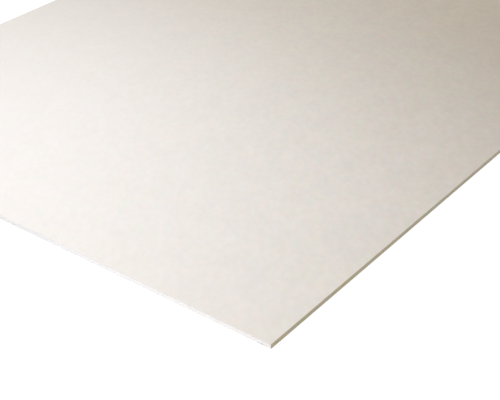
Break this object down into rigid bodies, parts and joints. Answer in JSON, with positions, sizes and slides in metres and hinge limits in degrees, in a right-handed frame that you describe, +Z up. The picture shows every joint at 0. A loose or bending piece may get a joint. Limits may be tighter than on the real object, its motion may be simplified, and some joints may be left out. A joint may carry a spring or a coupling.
{
  "type": "drywall sheet",
  "caption": "Flat rectangular drywall sheet: gypsum board faced in ivory paper, with square paper-wrapped long edges and bare cut ends, for lining walls and ceilings.",
  "frame": {"origin": "centre of the back of the sheet, on the floor that it lies on", "axes": "+X along the length, from cut end to cut end; +Y across the width, from wrapped edge to wrapped edge; +Z up through the thickness, from the back paper to the face paper"},
  "size_m": [2, 1.25, 0.0095],
  "materials": {
    "paper_faced_gypsum": "matte"
  },
  "bodies": {
    "root": {"drywall_sheet": "paper_faced_gypsum"}
  },
  "joints": []
}
